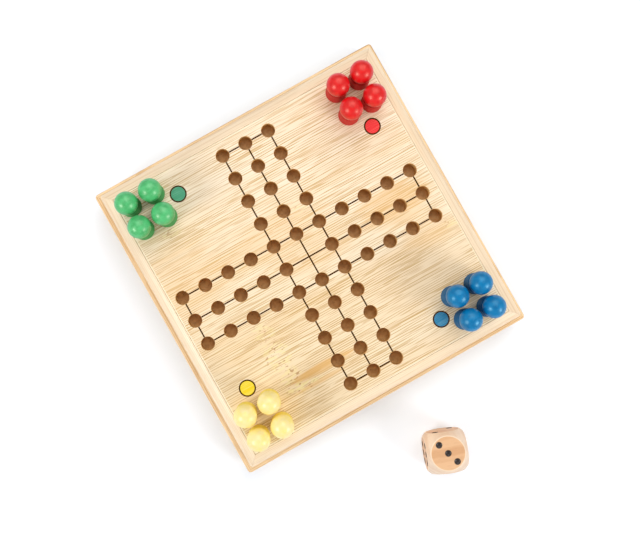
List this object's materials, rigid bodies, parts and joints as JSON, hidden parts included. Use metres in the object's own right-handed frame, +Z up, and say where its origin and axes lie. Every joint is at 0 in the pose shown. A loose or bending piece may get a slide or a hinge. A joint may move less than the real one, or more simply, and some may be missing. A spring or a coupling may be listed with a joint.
{
  "type": "ludo board box",
  "caption": "Shallow square bamboo box whose drilled playing board is the lid and swivels on a corner pin, with ball-headed pegs and a wooden die.",
  "frame": {"origin": "centre of the tray's underside, on the surface that the box stands on", "axes": "+Z up; +X to the right along the board's grain; +Y to the back, away from the die"},
  "size_m": [0.125, 0.1674, 0.0504],
  "materials": {
    "board_bamboo": "satin lacquer over straight bamboo grain",
    "rail_bamboo": "satin lacquer",
    "tray_bamboo": "satin lacquer",
    "block_bamboo": "plain sanded",
    "pin_steel": "bright zinc",
    "magnet_nickel": "nickel plate",
    "peg_green_paint": "semi-gloss paint",
    "peg_red_paint": "semi-gloss paint",
    "peg_blue_paint": "semi-gloss paint",
    "peg_yellow_paint": "semi-gloss paint",
    "die_beech": "waxed, black pips"
  },
  "bodies": {
    "tray": {"tray_wall_front": "tray_bamboo", "tray_wall_right": "tray_bamboo", "tray_wall_back": "tray_bamboo", "tray_wall_left": "tray_bamboo", "tray_bottom": "tray_bamboo", "pivot_block": "block_bamboo", "magnet_block": "block_bamboo", "tray_magnet": "magnet_nickel"},
    "lid": {"playing_board": "board_bamboo", "lid_rail_front": "rail_bamboo", "lid_rail_right": "rail_bamboo", "lid_rail_back": "rail_bamboo", "lid_rail_left": "rail_bamboo", "pivot_pin": "pin_steel", "lid_magnet": "magnet_nickel"},
    "peg_green_1": {"peg_green_1": "peg_green_paint"},
    "peg_green_2": {"peg_green_2": "peg_green_paint"},
    "peg_green_3": {"peg_green_3": "peg_green_paint"},
    "peg_green_4": {"peg_green_4": "peg_green_paint"},
    "peg_red_1": {"peg_red_1": "peg_red_paint"},
    "peg_red_2": {"peg_red_2": "peg_red_paint"},
    "peg_red_3": {"peg_red_3": "peg_red_paint"},
    "peg_red_4": {"peg_red_4": "peg_red_paint"},
    "peg_blue_1": {"peg_blue_1": "peg_blue_paint"},
    "peg_blue_2": {"peg_blue_2": "peg_blue_paint"},
    "peg_blue_3": {"peg_blue_3": "peg_blue_paint"},
    "peg_blue_4": {"peg_blue_4": "peg_blue_paint"},
    "peg_yellow_1": {"peg_yellow_1": "peg_yellow_paint"},
    "peg_yellow_2": {"peg_yellow_2": "peg_yellow_paint"},
    "peg_yellow_3": {"peg_yellow_3": "peg_yellow_paint"},
    "peg_yellow_4": {"peg_yellow_4": "peg_yellow_paint"},
    "die": {"die": "die_beech"}
  },
  "joints": [
    {"name": "lid_swivel", "type": "hinge", "parent": "tray", "child": "lid", "pos_m": [-0.05275, 0.05275, 0.02], "axis": [0, 0, 1], "range_deg": [0, 90]},
    {"name": "peg_green_1_lift", "type": "slide", "parent": "lid", "child": "peg_green_1", "axis": [0, 0, 1], "range_m": [0, 0.012]},
    {"name": "peg_green_2_lift", "type": "slide", "parent": "lid", "child": "peg_green_2", "axis": [0, 0, 1], "range_m": [0, 0.012]},
    {"name": "peg_green_3_lift", "type": "slide", "parent": "lid", "child": "peg_green_3", "axis": [0, 0, 1], "range_m": [0, 0.012]},
    {"name": "peg_green_4_lift", "type": "slide", "parent": "lid", "child": "peg_green_4", "axis": [0, 0, 1], "range_m": [0, 0.012]},
    {"name": "peg_red_1_lift", "type": "slide", "parent": "lid", "child": "peg_red_1", "axis": [0, 0, 1], "range_m": [0, 0.012]},
    {"name": "peg_red_2_lift", "type": "slide", "parent": "lid", "child": "peg_red_2", "axis": [0, 0, 1], "range_m": [0, 0.012]},
    {"name": "peg_red_3_lift", "type": "slide", "parent": "lid", "child": "peg_red_3", "axis": [0, 0, 1], "range_m": [0, 0.012]},
    {"name": "peg_red_4_lift", "type": "slide", "parent": "lid", "child": "peg_red_4", "axis": [0, 0, 1], "range_m": [0, 0.012]},
    {"name": "peg_blue_1_lift", "type": "slide", "parent": "lid", "child": "peg_blue_1", "axis": [0, 0, 1], "range_m": [0, 0.012]},
    {"name": "peg_blue_2_lift", "type": "slide", "parent": "lid", "child": "peg_blue_2", "axis": [0, 0, 1], "range_m": [0, 0.012]},
    {"name": "peg_blue_3_lift", "type": "slide", "parent": "lid", "child": "peg_blue_3", "axis": [0, 0, 1], "range_m": [0, 0.012]},
    {"name": "peg_blue_4_lift", "type": "slide", "parent": "lid", "child": "peg_blue_4", "axis": [0, 0, 1], "range_m": [0, 0.012]},
    {"name": "peg_yellow_1_lift", "type": "slide", "parent": "lid", "child": "peg_yellow_1", "axis": [0, 0, 1], "range_m": [0, 0.012]},
    {"name": "peg_yellow_2_lift", "type": "slide", "parent": "lid", "child": "peg_yellow_2", "axis": [0, 0, 1], "range_m": [0, 0.012]},
    {"name": "peg_yellow_3_lift", "type": "slide", "parent": "lid", "child": "peg_yellow_3", "axis": [0, 0, 1], "range_m": [0, 0.012]},
    {"name": "peg_yellow_4_lift", "type": "slide", "parent": "lid", "child": "peg_yellow_4", "axis": [0, 0, 1], "range_m": [0, 0.012]},
    {"name": "die_lift", "type": "slide", "parent": "tray", "child": "die", "axis": [0, 0, 1], "range_m": [0, 0.03]}
  ]
}
